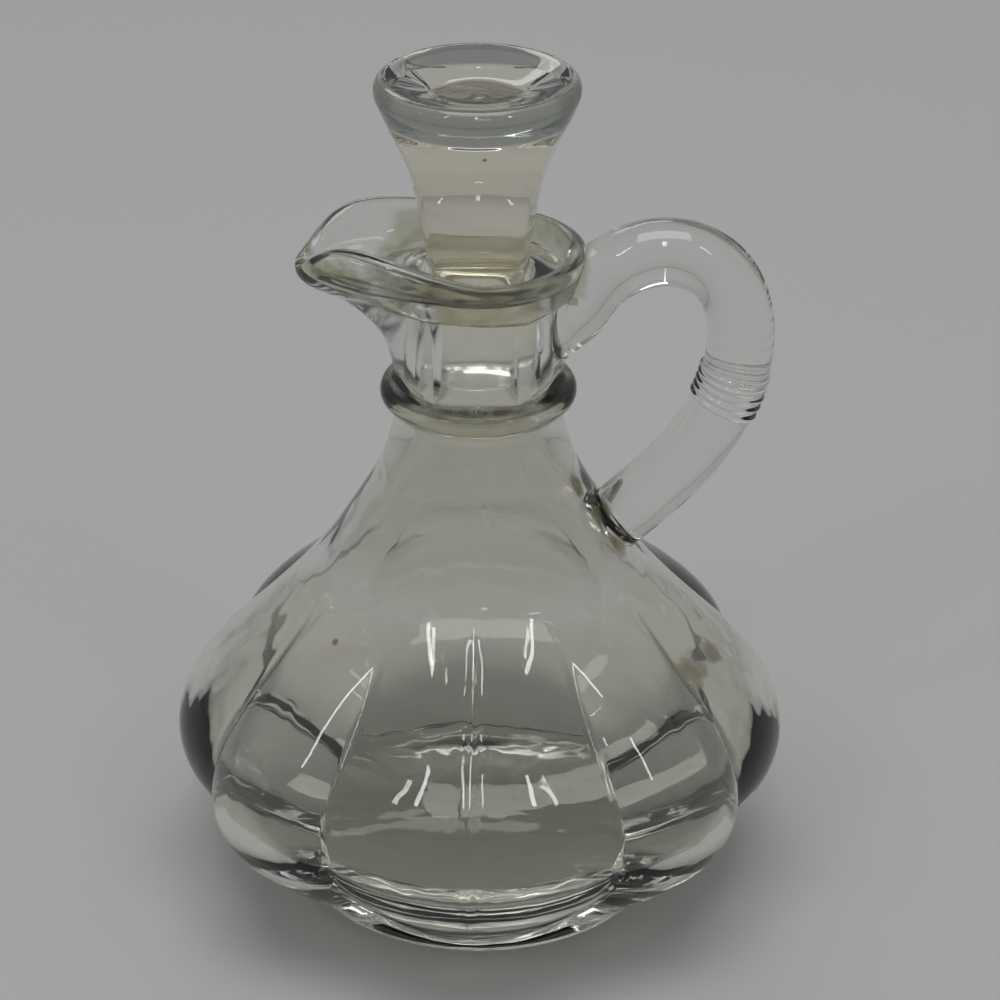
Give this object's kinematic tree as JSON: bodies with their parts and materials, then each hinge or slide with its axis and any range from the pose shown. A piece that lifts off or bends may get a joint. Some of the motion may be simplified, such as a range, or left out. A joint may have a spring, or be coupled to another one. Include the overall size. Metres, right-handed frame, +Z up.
{
  "type": "glass cruet",
  "caption": "Clear pressed-glass cruet with a lobed squat body, a ringed neck, a pouring spout, a rod handle and a flared glass stopper.",
  "frame": {"origin": "middle of the foot, at the level of the surface it stands on", "axes": "+Z up, +X towards the handle, -X towards the spout, -Y towards a wide front lobe"},
  "size_m": [0.1082, 0.1082, 0.1505],
  "materials": {
    "bottle_glass": "clear pressed glass with a faint grey-olive cast, fire-polished",
    "stopper_glass": "clear pressed glass with a faint straw cast, fire-polished"
  },
  "bodies": {
    "root": {"cruet_bottle": "bottle_glass", "stopper": "stopper_glass"}
  },
  "joints": []
}
